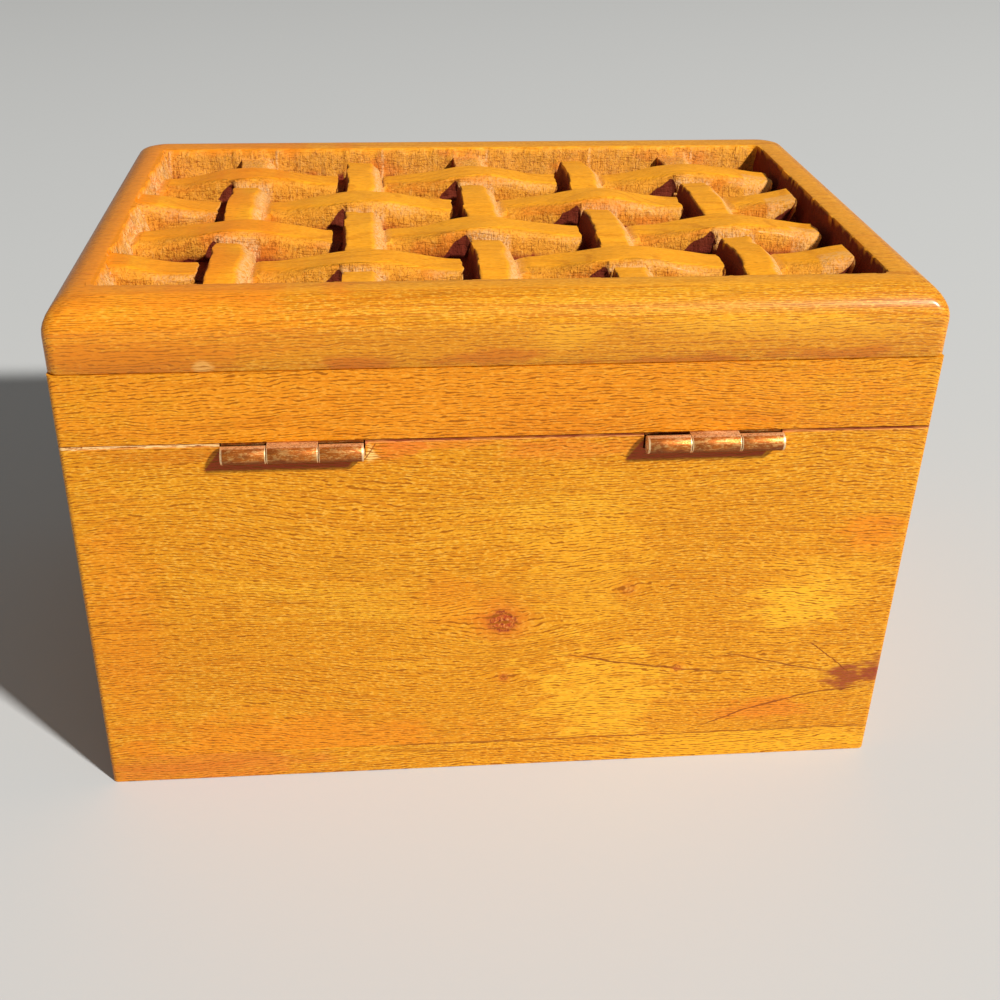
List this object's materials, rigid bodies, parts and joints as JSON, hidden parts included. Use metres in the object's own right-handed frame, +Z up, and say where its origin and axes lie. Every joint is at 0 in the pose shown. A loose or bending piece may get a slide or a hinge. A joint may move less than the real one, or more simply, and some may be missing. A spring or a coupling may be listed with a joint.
{
  "type": "carved wooden box",
  "caption": "Rectangular wooden box with a thick lid carved in deep relief as a basket weave, opening on two brass butt hinges at the back.",
  "frame": {"origin": "centre of the underside of the bottom board, where the box rests", "axes": "+X along the box's length, +Y towards the hinged back, +Z up; the lid opens at -Y"},
  "size_m": [0.2286, 0.1576, 0.1519],
  "materials": {
    "carved_wood": "varnished golden-brown hardwood, hand-carved with gouge marks in the relief",
    "panel_wood": "varnished golden-brown hardwood with fine dark pores and a knot",
    "board_wood": "varnished straw-brown hardwood",
    "hinge_brass": "aged brass, browned, bright along worn edges",
    "screw_brass": "plain brass, slightly tarnished"
  },
  "bodies": {
    "box": {"bottom_board": "board_wood", "front_panel": "panel_wood", "back_panel": "panel_wood", "left_panel": "panel_wood", "right_panel": "panel_wood", "left_hinge_body_leaf": "hinge_brass", "left_hinge_pin": "hinge_brass", "left_hinge_body_screw_1": "screw_brass", "left_hinge_body_screw_2": "screw_brass", "left_hinge_body_screw_3": "screw_brass", "right_hinge_body_leaf": "hinge_brass", "right_hinge_pin": "hinge_brass", "right_hinge_body_screw_1": "screw_brass", "right_hinge_body_screw_2": "screw_brass", "right_hinge_body_screw_3": "screw_brass"},
    "lid": {"carved_lid_top": "carved_wood", "lid_front_rail": "panel_wood", "lid_back_rail": "panel_wood", "lid_left_rail": "panel_wood", "lid_right_rail": "panel_wood", "left_hinge_lid_leaf": "hinge_brass", "left_hinge_lid_screw_1": "screw_brass", "left_hinge_lid_screw_2": "screw_brass", "left_hinge_lid_screw_3": "screw_brass", "right_hinge_lid_leaf": "hinge_brass", "right_hinge_lid_screw_1": "screw_brass", "right_hinge_lid_screw_2": "screw_brass", "right_hinge_lid_screw_3": "screw_brass"}
  },
  "joints": [
    {"name": "lid_hinge", "type": "hinge", "parent": "box", "child": "lid", "pos_m": [0, 0.0788, 0.1111], "axis": [-1, 0, 0], "range_deg": [0, 188]}
  ]
}
